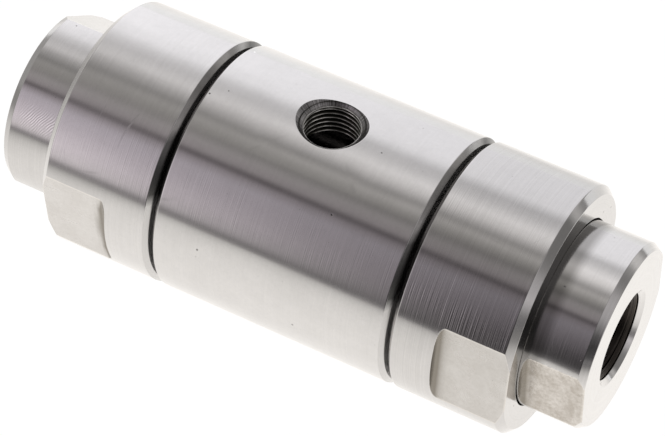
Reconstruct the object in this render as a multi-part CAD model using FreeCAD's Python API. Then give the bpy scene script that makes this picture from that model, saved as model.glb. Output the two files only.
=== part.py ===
import FreeCAD, Part
import os

# Pneumatic pinch valve in stainless steel, drawn in millimetres.
# The valve's axis is X, the control port points up +Z, and the origin is the centre of the valve.
# The right half is described from the centre outwards, and the left half is the same turned round.

# Housing, the middle section with the control port
body_radius = 20.0
housing_half_length = 19.9
groove_chamfer = 0.75
joint_gap = 0.6
spigot_end = 28.0
chamber_radius = 14.0
chamber_half_length = 13.0

# Control port, a G 1/8 parallel thread with a 90 degree countersink
port_thread_radius = 4.864
port_countersink_radius = 5.6

# Sleeve, one rubber hose with a collar at each end, and the two walls that close it
flow_radius = 4.0
sleeve_wall = 3.5
collar_radius = 11.0
collar_thickness = 3.5
sleeve_half_length = 24.0
lip_half_length = 7.0
lip_half_width = 1.8
lip_clearance = 0.1

# Pipe sockets, G 1/4 parallel threads with wrench flats
stub_end = 49.6
rim_chamfer_length = 1.2
rim_chamfer_depth = 0.78
pipe_thread_radius = 6.5785
pipe_thread_length = 12.0
pipe_countersink_radius = 7.8
flange_thickness = 3.7
flange_shoulder = 1.5
socket_flat_depth = 1.4
socket_flat_start = 0.25
socket_flat_turns = {"right": 186.4, "left": 51.5}

# Screw caps
cap_length = 19.0
cap_wall = 2.9
cap_outer_chamfer = 1.1
cap_flat_depth = 1.5
cap_flat_length = 11.7
cap_flat_turns = {"right": 177.4, "left": 187.0}

# Clearances between pieces, all radial or square to the face
neck_clearance = 0.2
collar_clearance = 0.15
guide_clearance = 0.3
flange_stop_gap = 0.3
thread_clearance = 0.2
flange_clearance = 0.7
hole_clearance = 0.2

# Milled flats
mill_corner = 1.2
cutter_margin = 2.0

axis_x = FreeCAD.Vector(1, 0, 0)
axis_z = FreeCAD.Vector(0, 0, 1)
centre = FreeCAD.Vector(0, 0, 0)

sleeve_radius = flow_radius + sleeve_wall
neck_radius = sleeve_radius + neck_clearance
seat_end = sleeve_half_length - collar_thickness
guide_bore_radius = collar_radius + collar_clearance
flange_start = spigot_end + flange_stop_gap
flange_end = flange_start + flange_thickness
cap_start = housing_half_length + joint_gap
cap_end = cap_start + cap_length
cap_bore_radius = body_radius - cap_wall
spigot_radius = cap_bore_radius - thread_clearance
flange_radius = cap_bore_radius - flange_clearance
stub_radius = flange_radius - flange_shoulder
cap_hole_radius = stub_radius + hole_clearance


def vector(x, r):
    """A point of a turned profile: x along the valve, r out from its axis."""
    return FreeCAD.Vector(x, r, 0)


def turned(points):
    """Turn a closed profile of (x, r) points a full circle about the valve's axis."""
    corners = [vector(x, r) for x, r in points]
    outline = Part.makePolygon(corners + corners[:1])
    return Part.Face(outline).revolve(centre, axis_x, 360)


def both_ends(half):
    """Close a half profile with its own mirror image across the middle plane."""
    left = [(-x, r) for x, r in reversed(half)]
    return half + left


def flat_cutter(start, end, depth, reach):
    """A milling cut above the height `depth`, with the cutter's corner radius at its inner end."""
    width = 2 * reach
    block = Part.makeBox(end - start, reach, width, FreeCAD.Vector(start, depth, -reach))
    corner = [e for e in block.Edges if is_inner_edge(e, start, depth)]
    return block.makeFillet(mill_corner, corner)


def is_inner_edge(edge, start, depth):
    """True for the cutter's edge where its end wall meets the flat."""
    middle = edge.CenterOfMass
    return abs(middle.x - start) < 1e-6 and abs(middle.y - depth) < 1e-6


def with_flats(piece, start, end, radius, depth, turn):
    """Mill two opposite wrench flats, each `depth` below the round of `radius`."""
    for half_turn in (0, 180):
        cutter = flat_cutter(start, end, radius - depth, radius + cutter_margin)
        cutter.rotate(centre, axis_x, turn + half_turn)
        piece = piece.cut(cutter)
    return piece


def make_housing():
    """Turned body with threaded spigots, hose seats and an air chamber, and the port bored into it."""
    outside = [
        (housing_half_length - groove_chamfer, body_radius),
        (housing_half_length, body_radius - groove_chamfer),
        (housing_half_length, spigot_radius),
        (spigot_end, spigot_radius),
        (spigot_end, guide_bore_radius),
    ]
    inside = [
        (seat_end, guide_bore_radius),
        (seat_end, neck_radius),
        (chamber_half_length, neck_radius),
        (chamber_half_length, chamber_radius),
    ]
    shell = turned(both_ends(outside + inside))
    return shell.cut(port_cutter())


def port_cutter():
    """Thread bore from the chamber to the crown, opened by a 90 degree countersink."""
    bore = Part.makeCylinder(port_thread_radius, body_radius + cutter_margin)
    cone_depth = port_countersink_radius - port_thread_radius
    cone_foot = body_radius - cone_depth
    top_radius = port_countersink_radius + cutter_margin
    cone_height = cone_depth + cutter_margin
    cone = Part.makeCone(port_thread_radius, top_radius, cone_height, FreeCAD.Vector(0, 0, cone_foot))
    return bore.fuse(cone)


def make_hose():
    """Straight rubber hose with a clamping collar at each end, as one turned solid."""
    outside = [
        (seat_end, sleeve_radius),
        (seat_end, collar_radius),
        (sleeve_half_length, collar_radius),
        (sleeve_half_length, flow_radius),
    ]
    return turned(both_ends(outside))


def lip_block(side, clearance):
    """The stretch of hose wall above or below the bore that moves to close it."""
    length = 2 * (lip_half_length - clearance)
    width = 2 * (lip_half_width - clearance)
    corner = FreeCAD.Vector(-length / 2, -width / 2, 0)
    block = Part.makeBox(length, width, sleeve_radius + cutter_margin, corner)
    if side < 0:
        block.rotate(centre, axis_x, 180)
    return block


def make_sleeve():
    """The hose without the two walls that move."""
    hose = make_hose()
    for side in (1, -1):
        hose = hose.cut(lip_block(side, 0))
    return hose


def make_lip(side):
    """One moving wall, cut from the same hose."""
    return make_hose().common(lip_block(side, lip_clearance))


def make_socket(turn):
    """Pipe socket: guide, flange, threaded stub and wrench flats, pointing along +X."""
    guide_radius = guide_bore_radius - guide_clearance
    thread_mouth = stub_end - (pipe_countersink_radius - pipe_thread_radius)
    thread_foot = thread_mouth - pipe_thread_length
    outside = [
        (sleeve_half_length, flow_radius),
        (sleeve_half_length, guide_radius),
        (flange_start, guide_radius),
        (flange_start, flange_radius),
        (flange_end, flange_radius),
        (flange_end, stub_radius),
        (stub_end - rim_chamfer_length, stub_radius),
        (stub_end, stub_radius - rim_chamfer_depth),
    ]
    inside = [
        (stub_end, pipe_countersink_radius),
        (thread_mouth, pipe_thread_radius),
        (thread_foot, pipe_thread_radius),
        (thread_foot, flow_radius),
    ]
    blank = turned(outside + inside)
    start = cap_end + socket_flat_start
    end = stub_end + cutter_margin
    return with_flats(blank, start, end, stub_radius, socket_flat_depth, turn)


def make_cap(turn):
    """Screw cap: thread bore up to the flange's shoulder, clearance hole and wrench flats."""
    outside = [
        (cap_start, cap_bore_radius),
        (cap_start, body_radius - groove_chamfer),
        (cap_start + groove_chamfer, body_radius),
        (cap_end - cap_outer_chamfer, body_radius),
        (cap_end, body_radius - cap_outer_chamfer),
    ]
    inside = [
        (cap_end, cap_hole_radius),
        (flange_end, cap_hole_radius),
        (flange_end, cap_bore_radius),
    ]
    blank = turned(outside + inside)
    start = cap_end - cap_flat_length
    end = cap_end + cutter_margin
    return with_flats(blank, start, end, body_radius, cap_flat_depth, turn)


def on_side(make, turns, side):
    """Build a piece for the right end, or turn it round to the left end with its flats as seen there."""
    if side == "right":
        return make(turns[side])
    piece = make(180 - turns[side])
    piece.rotate(centre, axis_z, 180)
    return piece


def main():
    os.makedirs("parts", exist_ok=True)
    nodes = {
        "housing": make_housing(),
        "sleeve": make_sleeve(),
        "sleeve_upper_lip": make_lip(1),
        "sleeve_lower_lip": make_lip(-1),
    }
    for side in ("right", "left"):
        nodes[side + "_socket"] = on_side(make_socket, socket_flat_turns, side)
        nodes[side + "_cap"] = on_side(make_cap, cap_flat_turns, side)
    for name, shape in nodes.items():
        shape.exportStep("parts/" + name + ".step")
        box = shape.BoundBox
        print(name, shape.isValid(), len(shape.Solids), round(shape.Volume, 2))
        print("  x", round(box.XMin, 3), round(box.XMax, 3), "z", round(box.ZMin, 3), round(box.ZMax, 3))


main()
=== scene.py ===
import math

import bpy
import numpy as np
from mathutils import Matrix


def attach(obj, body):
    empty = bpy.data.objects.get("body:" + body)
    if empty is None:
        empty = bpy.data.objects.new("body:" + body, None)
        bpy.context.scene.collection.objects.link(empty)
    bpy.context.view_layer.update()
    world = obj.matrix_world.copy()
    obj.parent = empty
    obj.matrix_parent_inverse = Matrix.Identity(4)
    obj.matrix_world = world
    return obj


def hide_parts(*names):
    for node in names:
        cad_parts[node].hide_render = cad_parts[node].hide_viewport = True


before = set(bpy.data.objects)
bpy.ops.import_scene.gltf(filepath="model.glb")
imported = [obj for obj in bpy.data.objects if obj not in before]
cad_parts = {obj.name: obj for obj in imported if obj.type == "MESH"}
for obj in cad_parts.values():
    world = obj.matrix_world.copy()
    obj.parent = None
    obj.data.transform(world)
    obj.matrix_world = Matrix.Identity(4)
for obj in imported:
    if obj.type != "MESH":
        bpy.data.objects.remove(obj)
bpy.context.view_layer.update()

MM = 0.001
QUARTER = math.pi / 2
FULL_TURN = 2 * math.pi

# Sizes in millimetres and turns in degrees that the solids have too.
BODY_R = 20.0
HOUSING_HALF = 19.9
GROOVE_CHAMFER = 0.75
SPIGOT_END = 28.0
CHAMBER_R = 14.0
CHAMBER_HALF = 13.0
NECK_R = 7.7
SEAT_END = 20.5
GUIDE_BORE_R = 11.15
PORT_MOUTH_R = 5.6
PORT_ROOT_R = 4.864
HOSE_R = 7.5
FLOW_R = 4.0
COLLAR_R = 11.0
SLEEVE_HALF = 24.0
LIP_HALF = 7.0
LIP_WIDTH = 1.8
LIP_GAP = 0.1
CAP_START = 20.5
CAP_END = 39.5
CAP_CHAMFER = 1.1
CAP_HOLE_R = 15.1
CAP_RELIEF_R = 17.1
CAP_FLAT = 18.5
CAP_FLAT_START = 27.8
FLANGE_START = 28.3
FLANGE_END = 32.0
FLANGE_R = 16.4
GUIDE_R = 10.85
STUB_R = 14.9
STUB_END = 49.6
RIM_LENGTH = 1.2
RIM_DEPTH = 0.78
SOCKET_FLAT = 13.5
SOCKET_FLAT_START = 39.75
PIPE_MOUTH_R = 7.8
PIPE_ROOT_R = 6.5785
PIPE_FOOT = 36.3785
MILL_CORNER = 1.2
CAP_TURNS = {"right": 177.4, "left": 187.0}
SOCKET_TURNS = {"right": 186.4, "left": 51.5}

# Sizes in millimetres that only this file has: threads and their seats, the relief, soft edges, the floor.
PORT_CREST_R = 4.283
PORT_PITCH = 0.907
PIPE_CREST_R = 5.7225
PIPE_PITCH = 1.337
CAP_PITCH = 1.5
CAP_ROOT_R = 17.65
CAP_CREST_R = 16.75
CAP_BORE_R = 17.72
CAP_THREAD_END = 29.5
SPIGOT_ROOT_R = 16.45
SPIGOT_CREST_R = 17.35
SPIGOT_CORE_R = 16.2
THREAD_SEAT = 0.12
RELIEF_R = 7.05
RELIEF_END = 48.55
EDGE = 0.12
FLAT_EDGE = 0.035
# Width in millimetres of the painted highlight along the flats' edges.
EDGE_GLINT = 0.3
FLOOR_Z = -20.0

# Height of the tip of the port's 45 degree cone, which lies on the port's axis.
PORT_TIP_Z = BODY_R - PORT_MOUTH_R
THREAD_ANGLES = np.linspace(0, FULL_TURN, 200, endpoint=False)


def put_mesh(name, points, faces):
    """Turn points in millimetres and an array of four-cornered faces into a smooth object."""
    mesh = bpy.data.meshes.new(name)
    mesh.vertices.add(len(points))
    mesh.vertices.foreach_set("co", (points * MM).astype(np.float32).ravel())
    mesh.loops.add(faces.size)
    mesh.loops.foreach_set("vertex_index", faces.astype(np.int32).ravel())
    mesh.polygons.add(len(faces))
    mesh.polygons.foreach_set("loop_start", np.arange(0, faces.size, 4, dtype=np.int32))
    mesh.polygons.foreach_set("use_smooth", np.ones(len(faces), dtype=bool))
    mesh.update(calc_edges=True)
    mesh.validate()
    piece = bpy.data.objects.new(name, mesh)
    bpy.context.scene.collection.objects.link(piece)
    return piece


def ring_faces(rows, columns):
    """Faces of a grid whose rows and columns both close on themselves, pointing outwards when turned."""
    i = np.arange(rows)[:, None]
    j = np.arange(columns)[None, :]
    below = (i + 1) % rows * columns
    beside = (j + 1) % columns
    corners = [i * columns + j, i * columns + beside, below + beside, below + j]
    return np.stack(corners, -1).reshape(-1, 4)


def sheet_faces(number):
    """Faces of an open grid of point numbers."""
    corners = [number[:-1, :-1], number[1:, :-1], number[1:, 1:], number[:-1, 1:]]
    return np.stack(corners, -1).reshape(-1, 4)


def around(x, r, angle):
    """Points at x along the axis, r out from it and `angle` round it from +Y towards +Z."""
    x, r, angle = np.broadcast_arrays(x, r, angle)
    return np.stack([x, r * np.cos(angle), r * np.sin(angle)], -1)


def turned_piece(name, x, r, angle, side):
    """A closed turned skin: point (i, j) is at x, r, angle of row i, column j. The left is turned round Z."""
    points = around(x, r, angle)
    rows, columns = points.shape[:2]
    points = points.reshape(-1, 3)
    if side == "left":
        points = points * (-1, -1, 1)
    return put_mesh(name, points, ring_faces(rows, columns))


def give_values(piece, name, values):
    """Store one number for each point of a piece, for its material to read."""
    attribute = piece.data.attributes.new(name, "FLOAT", "POINT")
    attribute.data.foreach_set("value", np.asarray(values, np.float32).ravel())


def along_and_out(parts, what):
    """Places of points or faces in millimetres along the valve's axis, and their distances out from it."""
    spots = np.zeros(len(parts) * 3, np.float32)
    parts.foreach_get(what, spots)
    spots = spots.reshape(-1, 3) / MM
    return spots[:, 0], np.hypot(spots[:, 1], spots[:, 2])


def face_finishes(piece):
    """The number of the finish that each face of a piece has."""
    numbers = np.zeros(len(piece.data.polygons), np.int32)
    piece.data.polygons.foreach_get("material_index", numbers)
    return numbers


def finish_faces(piece, number, chosen):
    """Give the chosen faces of a piece its finish of that number."""
    numbers = face_finishes(piece)
    numbers[chosen] = number
    piece.data.polygons.foreach_set("material_index", numbers)


def eased(corners):
    """Profile rows from (x, r, rounding) corners of a closed outline.

    A corner that turns by the angle a gets an arc that starts rounding * tan(a / 2) before it, and a
    support row lies just outside each end of the arc, so that shading stays flat beyond it.
    """
    steps, support = 3, 0.08
    corners = np.array(corners, float)
    spots = corners[:, :2]
    rows = []
    for k, (here, rounding) in enumerate(zip(spots, corners[:, 2])):
        into = here - spots[k - 1]
        out = spots[(k + 1) % len(spots)] - here
        length_in, length_out = np.hypot(*into), np.hypot(*out)
        into, out = into / length_in, out / length_out
        turn = math.acos(np.clip(into @ out, -1, 1))
        if rounding == 0 or turn < 1e-6:
            rows.append(here)
            continue
        setback = rounding * math.tan(turn / 2)
        side = out - (into @ out) * into
        side /= np.hypot(*side)
        start = here - into * setback
        if length_in > 2 * setback + 3 * support:
            rows.append(start - into * support)
        for a in np.linspace(0, turn, steps + 1):
            rows.append(start + rounding * (math.sin(a) * into + (1 - math.cos(a)) * side))
        if length_out > 2 * setback + 3 * support:
            rows.append(here + out * (setback + support))
    return np.array(rows)


def both_ends(half):
    """Corners of a whole outline from those of its right half."""
    return half + [(-x, r, rounding) for x, r, rounding in reversed(half)]


def apart(values, least):
    """True for each value that is more than `least` past the one before it."""
    return np.concatenate([[True], np.diff(values) > least])


def soft_minimum(a, b, width):
    """The smaller of two values, rounded where they are within `width` of each other."""
    return np.minimum(a, b) - np.maximum(width - np.abs(a - b), 0) ** 2 / (4 * width)


def soft_maximum(a, b, width):
    """The larger of two values, rounded in the same way."""
    return -soft_minimum(-a, -b, width)


def flat_columns(height, radius):
    """Angles round a piece from a flat's middle on, closest where the milled surface meets the round."""
    near = math.acos((height + MILL_CORNER) / radius) - math.radians(0.6)
    far = math.acos(height / radius) + math.radians(0.7)
    inner = np.linspace(0, near, max(4, int(near / math.radians(1.1))), endpoint=False)
    dense = np.arange(near, far, math.radians(0.14))
    widths = np.linspace(1, 6, 46)
    outer = far + (QUARTER - far) * np.concatenate([[0], np.cumsum(widths)[:-1]]) / widths.sum()
    half = np.concatenate([inner, dense, outer])
    half = half[apart(half, 1e-5)]
    one = np.concatenate([half, [QUARTER], math.pi - half[:0:-1]])
    return np.concatenate([one, one + math.pi])


def flat_height(x, start, end, height, radius):
    """Height of the milled surface over the axis at x.

    A steep end wall comes down to a quarter circle of radius MILL_CORNER, which runs out into the level
    flat, and a quarter circle of radius EDGE takes the flat down at its outer end.
    """
    wall_top, wall_width = radius + 0.05, 0.006
    depth = np.clip((x - start) / MILL_CORNER, 0, 1)
    corner = height + MILL_CORNER - MILL_CORNER * np.sqrt(1 - (1 - depth) ** 2)
    wall = wall_top + (corner - wall_top) * np.clip((x - start) / wall_width, 0, 1)
    past = np.clip((x - (end - EDGE)) / EDGE, 0, 1)
    return np.where(x < start, 10 * radius, wall - EDGE + EDGE * np.sqrt(1 - past ** 2))


def mill_rows(start, chamfer_start, end):
    """Values of x that follow the end wall, the corner, the flat and the chamfer of a milled stretch."""
    wall = start + np.array([-0.3, -0.08, -0.02, 0, 0.002, 0.004, 0.006])
    bend = start + MILL_CORNER * (1 - np.cos(np.radians(np.arange(10, 91, 7))))
    after = start + MILL_CORNER + np.array([0.05, 0.15])
    level = np.arange(start + MILL_CORNER + 0.8, chamfer_start - 0.3, 0.8)
    slope = np.linspace(chamfer_start + 0.15, end - EDGE - 0.05, 7)
    return np.concatenate([wall, bend, after, level, slope])


def milled_profile(outline, chamfer_start, start, end):
    """The outline's outer rows with the ones that milling needs put among them, and its other rows."""
    last = int(np.argmax(np.abs(outline[:, 0] - end) < 1e-6))
    outer, inner = outline[: last + 1], outline[last + 1:]
    before = outer[:, 0] < start - 0.5
    lead, reach = outer[before], outer[~before]
    added = mill_rows(start, chamfer_start, end)
    added = np.column_stack([added, np.interp(added, reach[:, 0], reach[:, 1])])
    reach = np.concatenate([reach, added])
    reach = reach[np.argsort(reach[:, 0], kind="stable")]
    return np.concatenate([lead, reach[apart(reach[:, 0], 1e-4)]]), inner


def milled_piece(name, outline, radius, chamfer_start, start, end, height, turn, side):
    """Turned skin with two opposite wrench flats; the outline is closed and starts at the inboard end.

    On an outer row the radius is the smaller of the profile's r and flat_height(x) / cos(angle to the
    flat's middle). On the chamfer the columns draw together so that one always runs along the flat's edge,
    and over the end face they open out again. Painted shade lies past the end wall and fades away along the
    flat, and a painted highlight runs along the flat's edges.
    """
    outer, inner = milled_profile(outline, chamfer_start, start, end)
    base = flat_columns(height, radius)
    edge = math.acos(height / radius)
    folded = (base + QUARTER) % math.pi - QUARTER
    near, sign = np.abs(folded), np.where(folded < 0, -1, 1)
    x, r = outer[:, :1], outer[:, 1:]
    level = flat_height(x, start, end, height, radius)
    row_edge = np.where(x < chamfer_start, edge, np.arccos(np.clip(level / r, -1, 1)))
    bent = np.where(near <= edge, near * row_edge / edge,
                    row_edge + (near - edge) * (QUARTER - row_edge) / (QUARTER - edge))
    angle = base - folded + sign * bent
    cut = level / np.maximum(np.cos(bent), 1e-3)
    r_outer = soft_minimum(np.broadcast_to(r, cut.shape), cut, FLAT_EDGE)

    count = int(np.argmax(inner[:, 0] < end - 1e-6))
    face, rest = inner[:count], inner[count:]
    foot = face[-1, 1]
    share = ((face[:, 1:] - foot) / (outer[-1, 1] - foot)).clip(0, 1)
    r_face = foot + share * (r_outer[-1] - foot)
    wide = (len(rest), len(base))
    rs = np.concatenate([r_outer, r_face, np.broadcast_to(rest[:, 1:], wide)])
    angles = np.concatenate([angle, base + share * (angle[-1] - base), np.broadcast_to(base, wide)])
    turn = math.radians(turn if side == "right" else 180 - turn)
    piece = turned_piece(name, np.concatenate([outer, inner])[:, :1], rs, angles + turn, side)

    flat = ((cut < r + 0.01) & (x > start)).astype(float)
    # Painted shade in the mill corner: full for this reach past the end wall, then fading; on the left it is
    # lens shaped.
    shade_reach, fade = 0.6, 0.6
    if side == "left":
        shade_reach, fade = 0.75 + 1.1 * np.maximum(1 - (bent / row_edge) ** 2, 0), 0.25
    corner_shade = flat * np.exp(-np.maximum(x - start - shade_reach, 0) / fade)
    # Painted highlight along the flat's edges, fading over EDGE_GLINT.
    rim = np.minimum((row_edge - bent) * radius, end - x) / EDGE_GLINT
    for label, values in (("flat", flat), ("corner", corner_shade), ("edge", flat * np.clip(1 - rim, 0, 1))):
        mark = np.zeros(rs.shape)
        mark[: len(flat)] = values
        give_values(piece, label, mark)
    return piece


def make_cap(side):
    """Screw cap: groove chamfer, round, flats and outer chamfer outside; thread bore and shoulder inside.

    Its wall at the groove has painted shade, and so has the left cap's groove chamfer, because it faces
    right.
    """
    outline = eased([
        (CAP_START, CAP_BORE_R + 0.3, 0.05), (CAP_START, BODY_R - GROOVE_CHAMFER, 0.1),
        (CAP_START + GROOVE_CHAMFER, BODY_R, 0.15), (CAP_END - CAP_CHAMFER, BODY_R, 0.15),
        (CAP_END, BODY_R - CAP_CHAMFER, EDGE), (CAP_END, CAP_HOLE_R + 0.08, 0.02),
        (CAP_END - 0.08, CAP_HOLE_R, 0.02), (FLANGE_END, CAP_HOLE_R, 0.1), (FLANGE_END, CAP_RELIEF_R, 0.1),
        (CAP_THREAD_END, CAP_RELIEF_R, 0.1), (CAP_THREAD_END, CAP_BORE_R, 0.1),
        (CAP_START + 0.3, CAP_BORE_R, 0.05),
    ])
    piece = milled_piece(side + "_cap_shell", outline, BODY_R, CAP_END - CAP_CHAMFER, CAP_FLAT_START,
                         CAP_END, CAP_FLAT, CAP_TURNS[side], side)
    x, r = along_and_out(piece.data.polygons, "center")
    # Faces nearer the middle than this get gap_steel's painted shade.
    shade_edge = CAP_START + (0.02 if side == "right" else GROOVE_CHAMFER - 0.03)
    finish_faces(piece, 1, (np.abs(x) < shade_edge) & (r > CAP_BORE_R + 0.2))
    return piece


def make_socket(side):
    """Pipe socket: guide, flange, stub and rim outside; countersink, relief and thread bore inside.

    The relief and the bore are painted as dark as the thread's roots, as shade, and a painted highlight runs
    round the relief's foot as on the crests.
    """
    bore = PIPE_ROOT_R + THREAD_SEAT
    relief_start = STUB_END - (PIPE_MOUTH_R - RELIEF_R)
    outline = eased([
        (SLEEVE_HALF, FLOW_R, 0.1), (SLEEVE_HALF, GUIDE_R, 0.2), (FLANGE_START, GUIDE_R, 0.1),
        (FLANGE_START, FLANGE_R, 0.2), (FLANGE_END, FLANGE_R, 0.2), (FLANGE_END, STUB_R, 0.1),
        (STUB_END - RIM_LENGTH, STUB_R, 0.12), (STUB_END, STUB_R - RIM_DEPTH, EDGE),
        (STUB_END, PIPE_MOUTH_R, 0.08), (relief_start, RELIEF_R, 0.03), (RELIEF_END, RELIEF_R, 0.03),
        (RELIEF_END - (RELIEF_R - bore), bore, 0.05), (PIPE_FOOT, bore, 0.1), (PIPE_FOOT, FLOW_R, 0.1),
    ])
    piece = milled_piece(side + "_socket_body", outline, STUB_R, STUB_END - RIM_LENGTH, SOCKET_FLAT_START,
                         STUB_END, SOCKET_FLAT, SOCKET_TURNS[side], side)
    x, r = along_and_out(piece.data.vertices, "co")
    # Painted highlight round the relief's foot.
    give_values(piece, "crest", np.exp(-((np.abs(x) - RELIEF_END) ** 2 + (r - RELIEF_R) ** 2) / 0.1 ** 2))
    x, r = along_and_out(piece.data.polygons, "center")
    within = (np.abs(x) > PIPE_FOOT) & (np.abs(x) < relief_start + 0.01)
    finish_faces(piece, 1, within & (r < RELIEF_R + 0.02) & (r > FLOW_R + 0.1))
    return piece


def screw_radius(along, angle, root, crest, pitch):
    """Radius of a right-handed thread: root + (crest - root) * wave(along / pitch - angle / full turn).

    The wave goes from 0 at the root to 1 at the crest, with rounded ends on straight flanks.
    """
    phase = along / pitch - angle / FULL_TURN
    triangle = 1 - np.abs(2 * (phase % 1.0) - 1)
    flank = np.clip((triangle - 0.14) / 0.72, 0, 1)
    wave = flank * flank * (3 - 2 * flank) * 0.35 + flank * 0.65
    return root + (crest - root) * wave


def thread_rows(start, end, pitch):
    """Places along the axis for the rows of a thread, 18 to a pitch."""
    return np.linspace(start, end, int(abs(end - start) / pitch * 18))[:, None]


def thread_ring(name, x, r, root, crest, back, side):
    """Closed ring of threaded rows with a plain back; each point stores how near a crest it is."""
    xs = np.concatenate([x[[-1, 0]], x])
    rs = np.concatenate([np.full((2, r.shape[1]), back), r])
    piece = turned_piece(name, xs, rs, THREAD_ANGLES, side)
    give_values(piece, "crest", (rs - root) / (crest - root))
    return piece


def make_pipe_thread(side):
    """Thread ring in the socket's bore, opened at its mouth by a 45 degree cone.

    Below the cone the crests start shallow and deepen by 0.22 mm per mm.
    """
    mouth = RELIEF_R - 0.4
    high = RELIEF_END - 0.4
    x = thread_rows(high, PIPE_FOOT + 0.15, PIPE_PITCH)
    deep = high - x
    shallow = PIPE_ROOT_R - 0.1 - 0.22 * np.maximum(deep - (mouth - PIPE_ROOT_R), 0)
    r = screw_radius(x, THREAD_ANGLES, PIPE_ROOT_R, PIPE_CREST_R, PIPE_PITCH)
    r = np.clip(r, np.maximum(mouth - deep, shallow), PIPE_ROOT_R + 0.07)
    return thread_ring(side + "_pipe_thread", x, r, PIPE_ROOT_R, PIPE_CREST_R, PIPE_ROOT_R + 0.1, side)


def make_spigot_thread(side):
    """Thread ring on the housing's spigot, tapered by 45 degrees at its end."""
    high = SPIGOT_END - 0.02
    x = thread_rows(HOUSING_HALF + 0.9, high, CAP_PITCH)
    r = screw_radius(x, THREAD_ANGLES, SPIGOT_ROOT_R, SPIGOT_CREST_R, CAP_PITCH)
    r = np.clip(r, SPIGOT_CORE_R + 0.06, SPIGOT_ROOT_R + 0.1 + (high - x))
    back = SPIGOT_CORE_R + 0.03
    return thread_ring(side + "_spigot_thread", x, r, SPIGOT_ROOT_R, SPIGOT_CREST_R, back, side)


def make_cap_thread(side):
    """The cap's own thread ring, half a pitch from the spigot's so that the two run into each other."""
    low, rows = CAP_START + 0.4, 98
    x = np.linspace(CAP_THREAD_END - 0.05, low, rows)[:, None]
    r = screw_radius(x - CAP_PITCH / 2, THREAD_ANGLES, CAP_ROOT_R, CAP_CREST_R, CAP_PITCH)
    r = np.maximum(r, CAP_ROOT_R - (x - low))
    return thread_ring(side + "_cap_thread", x, r, CAP_ROOT_R, CAP_CREST_R, CAP_BORE_R - 0.02, side)


def make_port_thread():
    """Closed thread ring in the control port, cut off by the chamber below and by the countersink above.

    The grooves open by 1.4 mm per mm below the foot of the countersink, and a burr of height
    0.13 exp(-(distance along the port / 0.11)^2) stands round that foot.
    """
    rows, columns = 130, 240
    angle = np.linspace(0, FULL_TURN, columns, endpoint=False)
    back = PORT_ROOT_R + 0.1
    low = np.sqrt(CHAMBER_R ** 2 - (back * np.sin(angle)) ** 2) + 0.03
    high = np.full(columns, back + PORT_TIP_Z - 0.02)
    z = high + (low - high) * np.linspace(0, 1, rows)[:, None]
    cone = z - PORT_TIP_Z
    r = screw_radius(z - 0.25, angle, PORT_ROOT_R, PORT_CREST_R, PORT_PITCH)
    r = np.minimum(r, PORT_CREST_R + 0.04 + 1.4 * np.maximum(PORT_CREST_R + 0.1 - cone, 0))
    on_cone = (cone > r - 0.06) & (cone < back - 0.05)
    on_cone = np.concatenate([np.zeros((2, columns), bool), on_cone])
    r = np.minimum(soft_maximum(r, cone, 0.12), back - 0.03)
    r = r - 0.13 * np.exp(-((cone - PORT_CREST_R - 0.03) / 0.11) ** 2)
    zs = np.concatenate([[low, high], z])
    rs = np.concatenate([np.full((2, columns), back), r])
    points = np.stack([rs * np.cos(angle), rs * np.sin(angle), zs], -1)
    piece = put_mesh("port_thread", points.reshape(-1, 3), ring_faces(*zs.shape))
    give_values(piece, "crest", (rs - PORT_ROOT_R) / (PORT_CREST_R - PORT_ROOT_R))
    lip = on_cone & (rs < PORT_CREST_R + 0.16)
    dull = on_cone & ~lip
    finish_faces(piece, 1, (dull & np.roll(dull, -1, axis=0)).ravel())
    # Painted highlight on the burr at the countersink's foot.
    finish_faces(piece, 2, (lip & (zs > np.roll(zs, -1, axis=0))).ravel())
    return piece


def level_rows(xs, r):
    """Profile rows at the places xs, all at one radius."""
    return np.column_stack([xs, np.full(len(xs), r)])


def rectangle_walk(i1, j0, j1):
    """Row and column numbers round the rectangle of rows 0 to i1, anticlockwise as seen from outside."""
    rows, columns = np.arange(i1), np.arange(j0, j1)
    i = np.concatenate([rows, np.full(j1 - j0, i1), i1 - rows, np.full(j1 - j0, 0)])
    j = np.concatenate([np.full(i1, j0), columns, np.full(i1, j1), columns[::-1] + 1])
    return i, j


def cut_hole(keep, last, base, j0, j1):
    """Drop the faces of some columns from the outer rows, 0 to last, and from the inner rows, base on.

    Gives the point numbers round the hole in the outer skin and round the matching one in the inner skin.
    """
    keep[:last, j0:j1] = False
    keep[base: base + last, j0:j1] = False
    i, j = rectangle_walk(last, j0, j1)
    columns = keep.shape[1]
    return i * columns + j % columns, (base + last - i) * columns + j % columns


def bridged(points, faces, holes):
    """Join the rim of each hole in the outer skin to the matching rim in the inner skin.

    holes has (outer rim, inner rim, rows of points between them), all walked the same way.
    """
    for outer_rim, inner_rim, between in holes:
        start, size = len(points), len(outer_rim)
        points = np.concatenate([points, *between])
        rims = [start + k * size + np.arange(size) for k in range(len(between))]
        for a, b in zip([outer_rim] + rims, rims + [inner_rim]):
            faces = np.concatenate([faces, np.stack([np.roll(a, -1), a, b, np.roll(b, -1)], -1)])
    return points, faces


def port_rim(angle):
    """Distance from the port's axis to the rim where its cone meets the round, in the direction `angle`.

    The cone is z = rho + PORT_TIP_Z, and the round is z = sqrt(BODY_R^2 - (rho sin angle)^2).
    """
    a = 1 + np.sin(angle) ** 2
    b = 2 * PORT_TIP_Z
    c = PORT_TIP_Z ** 2 - BODY_R ** 2
    return (-b + np.sqrt(b * b - 4 * a * c)) / (2 * a)


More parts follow.
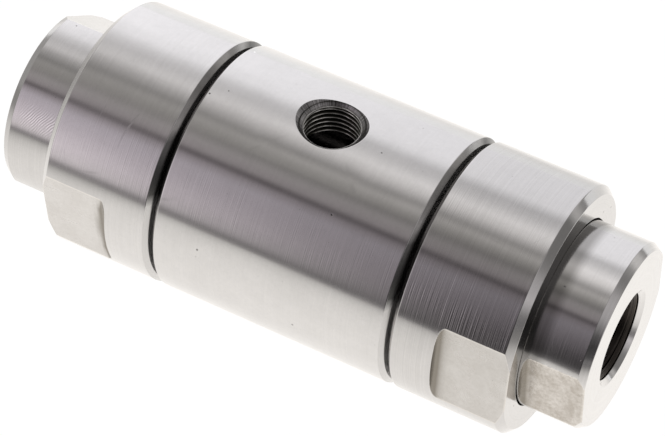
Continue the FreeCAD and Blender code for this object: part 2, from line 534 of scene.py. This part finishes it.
def port_rows(outer_rim, inner_rim):
    """Rows of points from the hole in the round, over the countersink and down the bore, to the chamber.

    Gives the rows, the number of them on the round, and how many there are down to the bore's foot.
    """
    angle = np.arctan2(outer_rim[:, 1], outer_rim[:, 0])
    reach = np.hypot(outer_rim[:, 0], outer_rim[:, 1])
    rim = port_rim(angle)
    turn = np.stack([np.cos(angle), np.sin(angle)], -1)
    rows = []

    def on_round(rho, radius, drop=0.0):
        """Add a row at the distances rho from the port's axis, on the round of that radius."""
        spot = turn * rho[:, None]
        rows.append(np.column_stack([spot, np.sqrt(radius ** 2 - spot[:, 1] ** 2) - drop]))

    for share in (0.8, 0.6, 0.42, 0.27, 0.15, 0.07):
        on_round(rim + (reach - rim) * share, BODY_R)
    on_round(rim + 0.1, BODY_R)
    on_round(rim + 0.035, BODY_R)
    on_round(rim, BODY_R, 0.015)
    outside = len(rows)
    bore = PORT_ROOT_R + THREAD_SEAT
    for share in (0.05, 0.12, 0.4, 0.7, 1.0):
        rho = rim + (bore - rim) * share
        rows.append(np.column_stack([turn * rho[:, None], rho + PORT_TIP_Z]))
    floor = np.sqrt(CHAMBER_R ** 2 - (bore * turn[:, 1]) ** 2)
    top = bore + PORT_TIP_Z
    for share in (0.03, 0.35, 0.7, 0.97):
        rows.append(np.column_stack([turn * bore, top + (floor - top) * share]))
    down = len(rows)
    within = np.hypot(inner_rim[:, 0], inner_rim[:, 1])
    for share in (0.0, 0.05, 0.4, 0.75):
        on_round(bore + (within - bore) * share, CHAMBER_R)
    return rows, outside, down


def make_housing():
    """Turned body with a spigot at each end, hose seats and an air chamber, and the port in its crown.

    The countersink and the bore have the port's own finish. The walls at the grooves have painted shade, and
    so has the right groove's chamfer, because it faces right.
    """
    outline = eased(both_ends([
        (HOUSING_HALF - GROOVE_CHAMFER, BODY_R, 0.15), (HOUSING_HALF, BODY_R - GROOVE_CHAMFER, 0.1),
        (HOUSING_HALF, SPIGOT_CORE_R, 0.1), (SPIGOT_END, SPIGOT_CORE_R, 0.1), (SPIGOT_END, GUIDE_BORE_R, 0.1),
        (SEAT_END, GUIDE_BORE_R, 0.1), (SEAT_END, NECK_R, 0.1), (CHAMBER_HALF, NECK_R, 0.1),
        (CHAMBER_HALF, CHAMBER_R, 0.1),
    ]))
    reach = np.arange(-9.0, 9.5, 1.0)
    on_round = np.flatnonzero(outline[:, 1] > BODY_R - 1e-9)
    top_left = on_round[outline[on_round, 0] < 0].max()
    on_chamber = np.flatnonzero(np.abs(outline[:, 1] - CHAMBER_R) < 1e-9)
    low_right = on_chamber[outline[on_chamber, 0] > 0].max()
    start = np.roll(outline, -(top_left + 1), axis=0)
    gap = (low_right - top_left - 1) % len(outline) + 1
    rows = np.concatenate([level_rows(reach, BODY_R), start[:gap], level_rows(reach[::-1], CHAMBER_R),
                           start[gap:]])
    columns, crown, half_hole = 360, 90, 28
    angle = np.arange(columns) * (FULL_TURN / columns)
    points = around(rows[:, :1], rows[:, 1:], angle).reshape(-1, 3)
    faces = ring_faces(len(rows), columns).reshape(len(rows), columns, 4)
    keep = np.ones((len(rows), columns), bool)
    outer_rim, inner_rim = cut_hole(keep, len(reach) - 1, len(reach) + gap, crown - half_hole,
                                    crown + half_hole)
    between, outside, down = port_rows(points[outer_rim], points[inner_rim])
    points, faces = bridged(points, faces[keep], [(outer_rim, inner_rim, between)])
    piece = put_mesh("housing_body", points, faces)
    skin, size = int(keep.sum()), len(outer_rim)
    finish_faces(piece, 1, slice(skin + outside * size, skin + down * size))
    x, r = along_and_out(piece.data.polygons, "center")
    # Faces from here out to the groove get gap_steel's painted shade.
    shade_edge = np.where(x > 0, HOUSING_HALF - GROOVE_CHAMFER + 0.03, HOUSING_HALF - 0.02)
    finish_faces(piece, 2, (np.abs(x) > shade_edge) & (np.abs(x) < HOUSING_HALF + 0.2) & (r > SPIGOT_CORE_R))
    return piece


def make_hose():
    """Rubber hose with a collar at each end, open above and below the bore where the moving walls go."""
    outline = eased(both_ends([(SEAT_END, HOSE_R, 0.1), (SEAT_END, COLLAR_R, 0.25),
                               (SLEEVE_HALF, COLLAR_R, 0.25), (SLEEVE_HALF, FLOW_R, 0.2)]))
    reach = np.linspace(-LIP_HALF, LIP_HALF, 15)
    half = len(outline) // 2
    rows = np.concatenate([level_rows(reach, HOSE_R), outline[:half], level_rows(reach[::-1], FLOW_R),
                           outline[half:]])
    outer_open, inner_open = math.asin(LIP_WIDTH / HOSE_R), math.asin(LIP_WIDTH / FLOW_R)
    open_angle = np.where(rows[:, 1] < FLOW_R + 1e-9, inner_open, outer_open)[:, None]
    solid_columns, open_columns = 60, 12
    side = np.linspace(-1, 1, solid_columns + 1)[:-1] * (QUARTER - open_angle)
    over = np.linspace(-1, 1, open_columns + 1)[:-1] * open_angle
    angle = np.concatenate([side, QUARTER + over, 2 * QUARTER + side, 3 * QUARTER + over], 1)
    points = around(rows[:, :1], rows[:, 1:], angle).reshape(-1, 3)
    faces = ring_faces(*angle.shape).reshape(*angle.shape, 4)
    keep = np.ones(angle.shape, bool)
    holes = []
    for j0 in (solid_columns, 2 * solid_columns + open_columns):
        outer_rim, inner_rim = cut_hole(keep, len(reach) - 1, len(reach) + half, j0, j0 + open_columns)
        between = [points[outer_rim] * (1 - s) + points[inner_rim] * s for s in (0.02, 0.5, 0.98)]
        holes.append((outer_rim, inner_rim, between))
    points, faces = bridged(points, faces[keep], holes)
    return put_mesh("hose", points, faces)


def make_lip(name, side):
    """One moving wall of the hose: the block from r = FLOW_R to r = HOSE_R over the middle, softly edged."""
    rows, columns = 41, 17
    half_x, half_y = LIP_HALF - LIP_GAP, LIP_WIDTH - LIP_GAP
    x = half_x * np.sin(np.linspace(-1, 1, rows) * QUARTER)
    y = half_y * np.sin(np.linspace(-1, 1, columns) * QUARTER)
    xs, ys = np.meshgrid(x, y, indexing="ij")
    edge = np.minimum(half_x - np.abs(xs), half_y - np.abs(ys))
    ease = EDGE * np.clip(1 - edge / EDGE, 0, 1) ** 2
    top = np.stack([xs, ys, np.sqrt(HOSE_R ** 2 - ys ** 2) - ease], -1)
    bottom = np.stack([xs, ys, np.sqrt(FLOW_R ** 2 - ys ** 2) + ease], -1)
    points = np.concatenate([top.reshape(-1, 3), bottom.reshape(-1, 3)])
    number = np.arange(rows * columns).reshape(rows, columns)
    upper = sheet_faces(number)
    lower = upper[:, ::-1] + number.size
    rim = number[rectangle_walk(rows - 1, 0, columns - 1)]
    wall = np.stack([rim, rim + number.size, np.roll(rim, -1) + number.size, np.roll(rim, -1)], -1)
    if side < 0:
        points = points * (1, -1, -1)
    return put_mesh(name, points, np.concatenate([upper, lower, wall]))


def put(kind, inputs=(), tree=None, **settings):
    """Add a shader node of that kind and give its outputs.

    Its inputs are (socket, value or output socket) pairs. It goes into the given tree, or else into the one
    that its input sockets come from.
    """
    inputs = list(inputs)
    tree = tree or next(value.id_data for _, value in inputs if isinstance(value, bpy.types.NodeSocket))
    made = tree.nodes.new("ShaderNode" + kind)
    for name, value in settings.items():
        setattr(made, name, value)
    for name, value in inputs:
        if isinstance(value, bpy.types.NodeSocket):
            tree.links.new(value, made.inputs[name])
        else:
            made.inputs[name].default_value = value
    return made.outputs


def maths(operation, *values):
    """The result of a Math node, or of a row of them where there are more than two values."""
    result = put("Math", enumerate(values[:2]), operation=operation)[0]
    for value in values[2:]:
        result = put("Math", [(0, result), (1, value)], operation=operation)[0]
    return result


def times(*values):
    """The product of the values."""
    return maths("MULTIPLY", *values)


def plus(*values):
    """The sum of the values."""
    return maths("ADD", *values)


def vectors(operation, first, second=None):
    """The result of a Vector Math node; the second value of SCALE is a number."""
    inputs = [(0, first)]
    if second is not None:
        inputs.append((3 if operation == "SCALE" else 1, second))
    return put("VectorMath", inputs, operation=operation)[0]


def split(vector):
    """The x, y and z of a vector."""
    return list(put("SeparateXYZ", [(0, vector)]))


def spread(value, low, high, to_low=0.0, to_high=1.0, smooth=False):
    """Map a value from one range to another, held within the ends."""
    kind = "SMOOTHSTEP" if smooth else "LINEAR"
    inputs = [("Value", value), ("From Min", low), ("From Max", high), ("To Min", to_low),
              ("To Max", to_high)]
    return put("MapRange", inputs, interpolation_type=kind)["Result"]


def window(value, start, full, fading, end):
    """1 where the value is from full to fading, going down to 0 at start and at end."""
    return times(spread(value, start, full), spread(value, end, fading))


def opaque(colour):
    """A colour of three numbers with its alpha; a socket stays as it is."""
    return (*colour, 1) if isinstance(colour, tuple) else colour


def blended(share, a, b):
    """Colour a with share of colour b over it."""
    inputs = [(0, share), (6, opaque(a)), (7, opaque(b))]
    return put("Mix", inputs, data_type="RGBA")[2]


def layered(colour, layers):
    """A colour with layers of (share, colour) laid over it, one after the other."""
    for share, over in layers:
        colour = blended(share, colour, over)
    return colour


def dimmed(colour, *shares):
    """A colour with its red, green and blue each taken down to a share."""
    return tuple(part * share for part, share in zip(colour, shares))


def bumped(height):
    """The normal of a surface that has this height in metres."""
    return put("Bump", [("Height", height), ("Distance", 1.0)])[0]


def line_noise(along, scale, detail=2.0, roughness=0.6):
    """Noise that depends on one number only, so it draws rings or straight lines."""
    inputs = [("W", along), ("Scale", scale), ("Detail", detail), ("Roughness", roughness)]
    return put("TexNoise", inputs, noise_dimensions="1D")["Fac"]


def cloud(vector, scale, detail=3.0, roughness=0.55):
    """Plain three-dimensional noise between 0 and 1."""
    inputs = [("Vector", vector), ("Scale", scale), ("Detail", detail), ("Roughness", roughness)]
    return put("TexNoise", inputs, noise_dimensions="3D")["Fac"]


def stored(material, name):
    """The number that give_values stored under this name."""
    return put("Attribute", tree=material.node_tree, attribute_name=name)["Fac"]


def blank_tree(owner):
    """The emptied node tree of a material or of the world."""
    owner.use_nodes = True
    owner.node_tree.nodes.clear()
    return owner.node_tree


def new_material(name):
    """A blank material and the place on its object."""
    material = bpy.data.materials.new(name)
    return material, put("TexCoord", tree=blank_tree(material))["Object"]


def coat(colour, metallic, rough, normal=None):
    """Give a material its surface."""
    inputs = [("Base Color", colour), ("Metallic", metallic), ("Roughness", rough)]
    if normal is not None:
        inputs.append(("Normal", normal))
    put("OutputMaterial", [(0, put("BsdfPrincipled", inputs)[0])])


GROUPS = {}


def new_group(name, ins, outs):
    """The input and output sockets of a blank shader node group; Position and Tilt are vectors."""
    tree = bpy.data.node_groups.new(name, "ShaderNodeTree")
    for in_out, labels in (("INPUT", ins), ("OUTPUT", outs)):
        for label in labels:
            kind = "NodeSocketVector" if label in ("Position", "Tilt") else "NodeSocketFloat"
            tree.interface.new_socket(label, in_out=in_out, socket_type=kind)
    return tree.nodes.new("NodeGroupInput").outputs, tree.nodes.new("NodeGroupOutput").inputs


def send(outs, **results):
    """Link results to a group's outputs of the same names, and give the group."""
    for label, value in results.items():
        group = value.id_data
        group.links.new(value, outs[label])
    return group


def use_group(name, **inputs):
    """Add one of the GROUPS, with keywords for its inputs, and give its outputs."""
    return put("Group", inputs.items(), node_tree=GROUPS[name])


def tool_ring_group():
    """Turning marks: rings along the axis on rounds and concentric ones on faces, with uneven depth.

    Feed is 0.4 sin(full turn * along / pitch + drift) + noise(along), and Tilt leans the normal by it.
    """
    ins, outs = new_group("tool_rings", ("Position", "Facing", "Pitch"), ("Height", "Tone", "Feed", "Tilt"))
    place, facing = ins["Position"], ins["Facing"]
    x, y, z = split(place)
    out_from_axis = maths("SQRT", plus(times(y, y), times(z, z)))
    along = put("Mix", [(0, facing), (2, x), (3, out_from_axis)], data_type="FLOAT")[0]
    coarse = line_noise(along, 1300)
    fine = line_noise(along, 5200, 3.0, 0.7)
    patch = spread(cloud(place, 90), 0.35, 0.65, 0.45, 1.0)
    height = times(plus(times(coarse, 0.6), times(fine, 0.5)), patch)
    tone = plus(times(coarse, 0.4), times(fine, 0.6))
    drift = times(cloud(place, 200, 1.0), 3.0)
    phase = times(maths("DIVIDE", along, ins["Pitch"]), FULL_TURN)
    wave = times(maths("SINE", plus(phase, drift)), 0.4)
    uneven = spread(line_noise(along, 5500, 1.0), 0.25, 0.75, -1.1, 1.1)
    strength = spread(cloud(place, 330), 0.36, 0.62, 0.25, 1.0)
    feed = times(plus(wave, uneven), times(strength, patch))
    across = vectors("NORMALIZE", put("CombineXYZ", [(1, y), (2, z)])[0])
    lean = put("Mix", [(0, facing), (4, (1, 0, 0)), (5, across)], data_type="VECTOR")[1]
    return send(outs, Height=height, Tone=tone, Feed=feed, Tilt=vectors("SCALE", lean, feed))


def pit_group():
    """Small pits: round dots where a cell's distance is under a radius, in a few of the cells only."""
    ins, outs = new_group("pits", ("Position", "Scale", "Share"), ("Mask",))
    shifted = vectors("ADD", ins["Position"], (0.37, 0.11, 0.53))
    cells = put("TexVoronoi", [("Vector", shifted), ("Scale", ins["Scale"])], feature="F1")
    lottery = put("SeparateColor", [(0, cells["Color"])])
    chosen = maths("LESS_THAN", lottery[0], ins["Share"])
    radius = spread(lottery[1], 0, 1, 0.03, 0.1)
    dot = maths("SUBTRACT", 1.0, maths("DIVIDE", cells["Distance"], radius))
    return send(outs, Mask=times(spread(dot, 0.0, 0.5), chosen))


# Start, full, fading and end of the chatter patch, in metres along the axis and in degrees round it.
CHATTER_ALONG = (-0.0478, -0.0460, -0.0418, -0.0400)
CHATTER_ROUND = (138, 143, 150, 155)
# Metres from one chatter line to the next.
CHATTER_PITCH = 0.00037


def chatter_group():
    """Chatter marks on the left stub: wavy slanting lines in a worn patch low on its front."""
    ins, outs = new_group("chatter", ("Position",), ("Mask",))
    place = ins["Position"]
    x, y, z = split(place)
    angle = maths("ARCTAN2", z, y)
    bend = times(cloud(place, 330, 1.0), 0.0009)
    slant = plus(times(x, 0.85), times(angle, STUB_R * MM, 0.5), bend)
    line = plus(maths("SINE", times(slant, FULL_TURN / CHATTER_PITCH)), 0.2)
    ends = window(x, *CHATTER_ALONG)
    sides = window(angle, *[math.radians(a) for a in CHATTER_ROUND])
    worn = spread(cloud(place, 620), 0.40, 0.60, 0.25, 1.0)
    return send(outs, Mask=times(line, times(ends, sides, worn)))


def scratch_group():
    """Hair-fine handling scratches: thin slices of stretched noise in two directions."""
    ins, outs = new_group("scratches", ("Position",), ("Mask",))
    layers = []
    for turn, stretch in (((0.5, 0.3, 0.9), (2400, 50, 50)), ((0.9, 1.2, 0.2), (60, 2100, 60))):
        rotated = put("VectorRotate", [("Vector", ins["Position"]), ("Rotation", turn)],
                      rotation_type="EULER_XYZ")[0]
        pulled = vectors("MULTIPLY", rotated, stretch)
        layers.append(spread(cloud(pulled, 1.0, 1.0), 0.69, 0.74))
    where = spread(cloud(ins["Position"], 160, 2.0), 0.5, 0.62)
    return send(outs, Mask=times(maths("MAXIMUM", *layers), where))


BRIGHT = (0.70, 0.69, 0.685)
MILLED = (0.61, 0.595, 0.575)
WHITE = (1, 1, 1)
BLACK = (0, 0, 0)
HAZE = (0.40, 0.395, 0.38)
CORNER_SHADE = (0.19, 0.17, 0.14)
GLINT = (0.84, 0.81, 0.77)
CAP_SHADE_TONE = (0.15, 0.142, 0.13)
PIT = (0.08, 0.075, 0.07)
CHATTER_CREST = (0.95, 0.94, 0.93)
CHATTER_ROOT = (0.20, 0.195, 0.19)
STEEL_ROUGHNESS = 0.10

# Depths and distances in metres.
FEED_PITCH = 0.00031
SCRATCH_DEPTH = 0.0000012
PIT_DEPTH = 0.00002
DIMPLE_DEPTH = 0.00003
# Where the painted shade beside the right cap is full, and where it ends, along the axis.
CAP_SHADE_START = 0.0414
CAP_SHADE_END = 0.0434


def steel(name, base, ring_depth=0.0000020, ring_tone=0.09, pit_share=0.20, dull=0.10, feed=0.012,
          flat_tone=MILLED, blotch=0.2, chatter=0.0, cap_shade=0.0):
    """Turned stainless steel with milled flats.

    `dull` deepens the grey haze of handling and oil, `feed` leans the normal along the cut, `flat_tone` is
    the flats' colour, and `blotch` is how mottled they are. Painted shade sits in the flats' corners, and a
    painted highlight glints along their edges. `chatter` is the strength of the chatter patch, and
    `cap_shade` that of painted shade on the socket beside the right cap.
    """
    material, place = new_material(name)
    across = split(put("NewGeometry", tree=material.node_tree)["Normal"])[0]
    facing = spread(maths("ABSOLUTE", across), 0.6, 0.8)
    flat, corner, edge = [stored(material, label) for label in ("flat", "corner", "edge")]
    turned = maths("SUBTRACT", 1.0, flat)
    rings = use_group("rings", Position=place, Facing=facing, Pitch=FEED_PITCH)
    pits, fine_pits, specks = [use_group("pits", Position=place, Scale=scale, Share=share)[0]
                               for scale, share in ((430.0, pit_share), (1500.0, 0.09), (290.0, 0.07))]
    holes = maths("MAXIMUM", pits, times(fine_pits, 0.7))
    scratches = use_group("scratches", Position=place)[0]
    haze = spread(cloud(place, 70, 4.0), 0.3, 0.7)
    mottle = plus(cloud(place, 300, 3.0, 0.6), cloud(place, 1700, 3.0, 0.7))
    mottle = spread(mottle, 0.76, 1.24)
    tone = plus(rings["Tone"], times(rings["Feed"], 0.12))
    layers = [
        (times(spread(tone, 0.35, 0.65, ring_tone, 0.0), turned), dimmed(base, 0.45, 0.44, 0.42)),
        (times(haze, dull), HAZE),
        (times(mottle, 0.12), dimmed(base, 0.6, 0.6, 0.6)),
        (flat, flat_tone),
        (times(mottle, blotch, flat), dimmed(flat_tone, 0.6, 0.57, 0.53)),
        # Painted shade in the flats' corners.
        (times(corner, 0.85), CORNER_SHADE),
        # Painted highlight along the flats' edges.
        (times(edge, 0.55), GLINT),
    ]
    if cap_shade:
        # Painted shade on the socket beside the right cap, standing in for the cap's dark reflection.
        cover = spread(split(place)[0], CAP_SHADE_END, CAP_SHADE_START, 0, cap_shade, smooth=True)
        layers.append((times(cover, turned), CAP_SHADE_TONE))
    if chatter:
        marks = use_group("chatter", Position=place)[0]
        layers += [(spread(marks, 0, 1, 0, chatter), CHATTER_CREST),
                   (spread(marks, 0, -1, 0, chatter), CHATTER_ROOT)]
    layers += [(times(holes, 0.85), PIT), (times(specks, 0.8), WHITE)]
    rough = plus(STEEL_ROUGHNESS, times(haze, 0.05), times(scratches, 0.12), times(flat, 0.14))
    height = maths("SUBTRACT", times(rings["Height"], turned, ring_depth),
                   times(scratches, SCRATCH_DEPTH), times(holes, PIT_DEPTH))
    height = plus(height, times(mottle, flat, blotch * DIMPLE_DEPTH))
    lean = vectors("SCALE", rings["Tilt"], times(turned, feed))
    normal = vectors("NORMALIZE", vectors("ADD", bumped(height), lean))
    coat(layered(base, layers), 1.0, rough, normal)
    return material


def screw_steel(name, root, crest_tone, low, high):
    """Cut thread: roots and flanks painted dark, as shade and oil, and crests painted bright as a highlight
    from the height low to high.
    """
    material, place = new_material(name)
    uneven = spread(cloud(place, 700), 0.35, 0.65, -0.07, 0.07)
    # Painted highlight on the crests and painted shade in the roots.
    bright = spread(plus(stored(material, "crest"), uneven), low, high)
    rough = spread(bright, 0, 1, 0.38, 0.2)
    grain = times(cloud(place, 5000, 2.0), 0.000004)
    coat(blended(bright, root, crest_tone), 1.0, rough, bumped(grain))
    return material


def cone_steel():
    """Countersink: dull dark steel with chatter marks down the cone, by the angle round the port."""
    material, place = new_material("cone_steel")
    x, y, z = split(place)
    marks = line_noise(maths("ARCTAN2", y, x), 17.0, 3.0, 0.75)
    rings = line_noise(z, 9000.0, 1.0)
    tone = plus(times(marks, 0.7), times(rings, 0.3))
    colour = blended(spread(tone, 0.38, 0.62), (0.13, 0.125, 0.125), (0.50, 0.49, 0.49))
    coat(colour, 1.0, 0.3, bumped(times(tone, 0.00002)))
    return material


def burr_highlight_steel():
    """Burr at the foot of the countersink: pale, patchy colour that paints its highlight."""
    material, place = new_material("burr_highlight_steel")
    worn = spread(cloud(place, 900, 2.0), 0.4, 0.6)
    coat(blended(worn, (0.55, 0.54, 0.52), (0.92, 0.91, 0.88)), 0.2, 0.3)
    return material


def gap_steel():
    """Groove walls, and groove chamfers that face right: patchy grey steel as painted shade, painted dark at
    middle heights and painted light low down.
    """
    material, place = new_material("gap_steel")
    cover = spread(cloud(place, 300), 0.35, 0.65)
    z = split(place)[2]
    colour = blended(cover, (0.38, 0.37, 0.36), (0.50, 0.49, 0.48))
    # Painted shade: dark below 15.5 mm above the axis, the grey above 16.8 mm.
    colour = blended(spread(z, 0.0155, 0.0168), (0.11, 0.108, 0.105), colour)
    # Painted light: pale below 7.2 mm above the axis.
    colour = blended(spread(z, 0.0090, 0.0072), colour, (0.66, 0.65, 0.64))
    coat(colour, 0.75, spread(cover, 0, 1, 0.26, 0.18))
    return material


def rubber():
    """Matt black elastomer with a faint moulded grain and a dusty bloom."""
    material, place = new_material("black_rubber")
    grain = times(cloud(place, 3200), 0.00001)
    bloom = spread(cloud(place, 120, 4.0), 0.4, 0.75, 0.0, 0.5)
    colour = blended(bloom, (0.018, 0.018, 0.019), (0.045, 0.044, 0.042))
    coat(colour, 0.0, spread(bloom, 0, 0.5, 0.5, 0.68), bumped(grain))
    return material


# Brightness of the surroundings by the angle atan2(z, y): (degrees, towards the left, towards the right).
FRONT_BANDS = [
    (-60, 1.05, 1.00), (3, 1.30, 0.97), (28, 1.32, 0.98), (44, 1.17, 0.96), (55, 0.87, 0.58),
    (62, 0.70, 0.68), (73, 0.75, 0.95), (81, 0.46, 0.80), (91, 0.28, 0.33), (97, 0.37, 0.48),
    (103, 0.35, 0.31), (109, 0.33, 0.18), (115, 0.40, 0.27), (122, 0.35, 0.25), (127, 0.12, 0.055),
    (131, 0.37, 0.17), (138, 0.60, 0.19), (150, 0.70, 0.13), (167, 0.92, 0.04), (177, 0.90, 0.02),
    (181, 0.75, 0.03), (185, 0.30, 0.10), (190, 0.40, 0.22),
]
# The same for directions that lean further and further to the right: (degrees, brightness).
ACROSS_BANDS = [
    (-30, 1.00), (-12, 0.60), (-2, 0.33), (14, 0.28), (40, 0.20), (60, 0.16), (83, 0.14), (100, 0.13),
    (120, 0.08), (155, 0.03), (190, 0.05),
]
SIDE_BANDS = [
    (-30, 1.00), (-14, 0.80), (-4, 0.26), (2, 0.30), (12, 0.60), (24, 0.66), (33, 0.34), (50, 0.22),
    (72, 0.42), (95, 0.46), (112, 0.40), (127, 0.22), (142, 0.08), (160, 0.04), (176, 0.07), (190, 0.20),
]
END_BANDS = [
    (-30, 0.80), (-6, 0.24), (3, 0.58), (11, 0.50), (19, 0.20), (54, 0.22), (70, 0.30), (85, 0.45),
    (110, 0.52), (134, 0.64), (150, 0.50), (170, 0.22), (190, 0.18),
]
# Red and blue of the bands as shares of their green: (degrees, red, blue).
FRONT_TINTS = [
    (40, 1.01, 1.03), (79, 1.03, 0.99), (103, 1.04, 0.96), (118, 1.07, 1.01), (127, 1.13, 1.05),
    (138, 1.09, 1.09), (160, 1.11, 1.08), (190, 1.06, 1.0),
]
SIDE_TINTS = [(-30, 1.02, 0.98), (40, 1.03, 0.98), (100, 1.04, 1.01)]
BANDS_START = -170


def band_ramp(turn, bands, tints):
    """Colour ramp over a full turn that starts at the angle BANDS_START."""
    ramp = put("ValToRGB", [(0, turn)])[0]
    stops = ramp.node.color_ramp.elements
    stops.remove(stops[0])
    angles, reds, blues = zip(*tints)
    for k, (angle, level) in enumerate(bands):
        position = (angle - BANDS_START) / 360
        stop = stops[0] if k == 0 else stops.new(position)
        stop.position = position
        red, blue = np.interp(angle, angles, reds), np.interp(angle, angles, blues)
        stop.color = (level * red, level, level * blue, 1)
    return ramp


def light_room():
    """Surroundings that the metal mirrors: brightness bands by the angle round the valve's axis.

    The bands change from the left to the right, to a darker gap past the camera and a room on the far
    right, and the far left is plain and dim. The camera sees plain white.
    """
    world = bpy.data.worlds.new("light_room")
    bpy.context.scene.world = world
    tree = blank_tree(world)
    x, y, z = split(put("TexCoord", tree=tree)["Generated"])
    angle = maths("ARCTAN2", z, y)
    turn = maths("FRACT", plus(maths("DIVIDE", angle, FULL_TURN), 1 - BANDS_START / 360))
    left = band_ramp(turn, [band[:2] for band in FRONT_BANDS], FRONT_TINTS)
    right = band_ramp(turn, [band[::2] for band in FRONT_BANDS], FRONT_TINTS)
    across, side, end = [band_ramp(turn, bands, SIDE_TINTS)
                         for bands in (ACROSS_BANDS, SIDE_BANDS, END_BANDS)]
    shifted = maths("SUBTRACT", x, spread(angle, math.radians(60), math.radians(90), 0.0, 0.2))
    colour = layered(right, [
        (maths("POWER", spread(x, -0.20, -0.41), 1.5), left),
        (spread(x, -0.14, 0.14, smooth=True), across),
        (spread(x, 0.22, 0.42, smooth=True), side),
        (spread(shifted, 0.60, 0.74, smooth=True), end),
        (spread(x, -0.50, -0.88, smooth=True), (0.42, 0.41, 0.40)),
        (put("LightPath", tree=tree)["Is Camera Ray"], WHITE),
    ])
    shader = put("Background", [("Color", colour), ("Strength", 1.0)])
    put("OutputWorld", [(0, shader[0])])


def make_floor():
    """White table that ends 190 mm in front of the valve, with a faint shadow; reflections show it warm, with
    painted light: a lit strip under the valve and lit paper behind it, dimmer paper beside the strip, and
    painted shade towards its front edge and the back right.
    """
    x, y = np.meshgrid(np.linspace(-900, 900, 9), np.linspace(-190, 1300, 9), indexing="ij")
    points = np.stack([x, y, np.full(x.shape, FLOOR_Z - 0.02)], -1).reshape(-1, 3)
    table = put_mesh("table", points, sheet_faces(np.arange(x.size).reshape(x.shape)))
    material, place = new_material("table_white")
    x, y = split(place)[:2]
    # Painted light in reflections: a lit strip under the valve, and all lit behind it.
    lit = window(x, -0.190, -0.060, 0.060, 0.200)
    lit = maths("MAXIMUM", lit, spread(y, 0.060, 0.110))
    # Painted shade in reflections: towards the front edge, and towards the back right.
    front = maths("POWER", spread(y, -0.190, -0.030), 0.85)
    bearing = maths("DIVIDE", x, maths("MAXIMUM", y, 0.001))
    dimmer = times(spread(bearing, -0.5, 0.0, 0.0, 0.18), spread(y, 0.06, 0.1))
    paper = blended(lit, (0.30, 0.29, 0.28), (1.05, 1.02, 0.98))
    paper = blended(spread(y, 0.060, 0.200), paper, (1.08, 1.08, 1.08))
    paper = blended(spread(front, 0, 1, 0.45, 1.0), BLACK, paper)
    paper = blended(dimmer, paper, BLACK)
    mirrored = put("LightPath", tree=material.node_tree)["Is Glossy Ray"]
    colour = blended(mirrored, (0.96, 0.96, 0.96), paper)
    glow = put("Emission", [("Color", colour), ("Strength", 1.0)])
    matt = put("BsdfDiffuse", [("Color", (0.14, 0.14, 0.14, 1))], material.node_tree)
    both = put("AddShader", [(0, glow[0]), (1, matt[0])])
    put("OutputMaterial", [(0, both[0])])
    table.data.materials.append(material)


def make_camera():
    """The photograph's view: a long lens from the front right, nearly 48 degrees up."""
    data = bpy.data.cameras.new("camera")
    data.sensor_width = 36
    data.lens = 157.641
    data.clip_start = 0.01
    data.clip_end = 10
    camera = bpy.data.objects.new("camera", data)
    camera.location = (0.13412665, -0.26749305, 0.32951857)
    camera.rotation_euler = [math.radians(a) for a in (42.1135, -1.8897, 28.5901)]
    bpy.context.scene.collection.objects.link(camera)
    bpy.context.scene.camera = camera


def hang(piece, body, node, slot, *materials):
    """Hang a piece on its body with its finishes, in place of the plain solid where it has a node."""
    numbers = face_finishes(piece)
    for material in materials:
        piece.data.materials.append(material)
    piece.data.polygons.foreach_set("material_index", numbers)
    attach(piece, body)
    if node:
        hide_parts(node)


# What each steel has of its own; steel() has the rest.
STEELS = {
    "body_steel": dict(base=BRIGHT, ring_depth=0.0000012, ring_tone=0.05, pit_share=0.16),
    "right_cap_steel": dict(base=(0.665, 0.655, 0.65), ring_depth=0.0000030, ring_tone=0.14, pit_share=0.12,
                            feed=0.032, blotch=0.25),
    "left_cap_steel": dict(base=BRIGHT, ring_tone=0.08, pit_share=0.14, feed=0.02,
                           flat_tone=(0.66, 0.645, 0.63)),
    "right_socket_steel": dict(base=(0.77, 0.76, 0.755), dull=0.09, flat_tone=(0.64, 0.612, 0.578),
                               blotch=0.8, cap_shade=0.6),
    "left_socket_steel": dict(base=(0.66, 0.65, 0.645), dull=0.12, flat_tone=(0.80, 0.79, 0.78), blotch=0.1,
                              chatter=0.6),
}


def build():
    """All the pieces of the valve, the table, the light and the camera."""
    GROUPS.update(rings=tool_ring_group(), pits=pit_group(), scratches=scratch_group(),
                  chatter=chatter_group())
    steels = {name: steel(name, **look) for name, look in STEELS.items()}
    # Thread colours: dark roots as painted shade and pale crests as a painted highlight.
    thread_steel = screw_steel("port_thread_steel", (0.06, 0.058, 0.048), (0.84, 0.83, 0.79), 0.78, 0.98)
    pipe_steel = screw_steel("pipe_thread_steel", (0.052, 0.045, 0.04), (0.21, 0.19, 0.165), 0.80, 1.0)
    black = rubber()
    cone = cone_steel()
    gap = gap_steel()
    hang(make_housing(), "housing", "housing", "turned_steel", steels["body_steel"], cone, gap)
    hang(make_port_thread(), "housing", None, "turned_steel", thread_steel, cone, burr_highlight_steel())
    hang(make_hose(), "housing", "sleeve", "sleeve_rubber", black)
    hang(make_lip("hose_upper_wall", 1), "upper_lip", "sleeve_upper_lip", "sleeve_rubber", black)
    hang(make_lip("hose_lower_wall", -1), "lower_lip", "sleeve_lower_lip", "sleeve_rubber", black)
    for side in ("right", "left"):
        cap, socket = side + "_cap", side + "_socket"
        hang(make_spigot_thread(side), "housing", None, "turned_steel", thread_steel)
        hang(make_cap(side), cap, cap, "cap_steel", steels[cap + "_steel"], gap)
        hang(make_cap_thread(side), cap, None, "cap_steel", thread_steel)
        hang(make_socket(side), socket, socket, "socket_steel", steels[socket + "_steel"], pipe_steel)
        hang(make_pipe_thread(side), socket, None, "socket_steel", pipe_steel)
    make_floor()
    light_room()
    make_camera()


build()
bpy.context.scene.view_settings.view_transform = "Standard"
bpy.context.view_layer.update()
